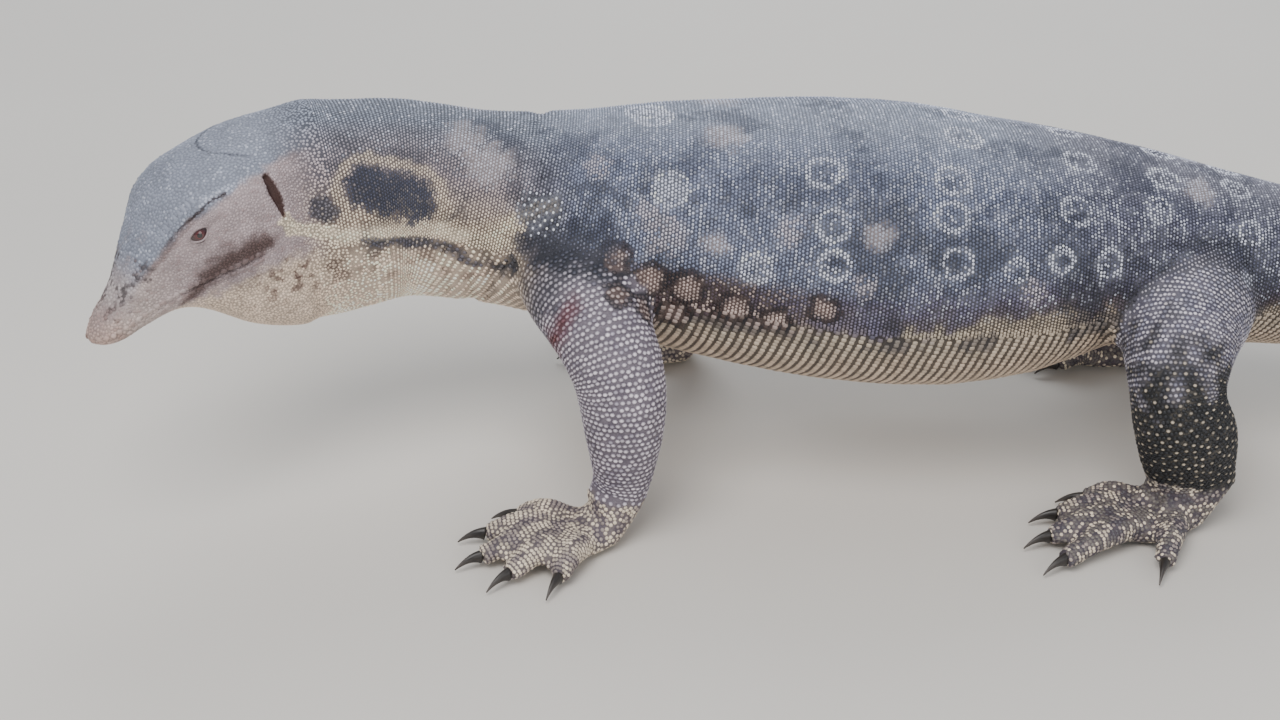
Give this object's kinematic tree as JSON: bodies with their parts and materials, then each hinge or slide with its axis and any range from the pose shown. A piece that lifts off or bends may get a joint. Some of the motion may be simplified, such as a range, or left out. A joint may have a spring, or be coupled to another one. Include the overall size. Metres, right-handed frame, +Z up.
{
  "type": "monitor lizard",
  "caption": "Life-size display model of a standing water monitor lizard, its head lowered and turned to its left and its long tail resting on the floor.",
  "frame": {"origin": "on the floor, under the middle of the whole model's box", "axes": "the animal faces -X with its left side towards -Y; +Z is up and the floor it stands on is Z = 0"},
  "size_m": [2.124, 0.4506, 0.3088],
  "materials": {
    "skin": "dry beaded scales, slate grey with pale rings and a cream underside",
    "eye": "wet dark red-brown",
    "claw": "dark horn"
  },
  "bodies": {
    "root": {"head": "skin", "neck": "skin", "torso": "skin", "tail_root": "skin", "tail_middle": "skin", "tail_end": "skin", "foreleg_left_upper": "skin", "foreleg_left_lower": "skin", "forefoot_left": "skin", "foreleg_right_upper": "skin", "foreleg_right_lower": "skin", "forefoot_right": "skin", "hindleg_left_upper": "skin", "hindleg_left_lower": "skin", "hindfoot_left": "skin", "hindleg_right_upper": "skin", "hindleg_right_lower": "skin", "hindfoot_right": "skin", "eye_left": "eye", "eye_right": "eye", "forefoot_left_claw_1": "claw", "forefoot_left_claw_2": "claw", "forefoot_left_claw_3": "claw", "forefoot_left_claw_4": "claw", "forefoot_left_claw_5": "claw", "forefoot_right_claw_1": "claw", "forefoot_right_claw_2": "claw", "forefoot_right_claw_3": "claw", "forefoot_right_claw_4": "claw", "forefoot_right_claw_5": "claw", "hindfoot_left_claw_1": "claw", "hindfoot_left_claw_2": "claw", "hindfoot_left_claw_3": "claw", "hindfoot_left_claw_4": "claw", "hindfoot_left_claw_5": "claw", "hindfoot_right_claw_1": "claw", "hindfoot_right_claw_2": "claw", "hindfoot_right_claw_3": "claw", "hindfoot_right_claw_4": "claw", "hindfoot_right_claw_5": "claw"}
  },
  "joints": []
}
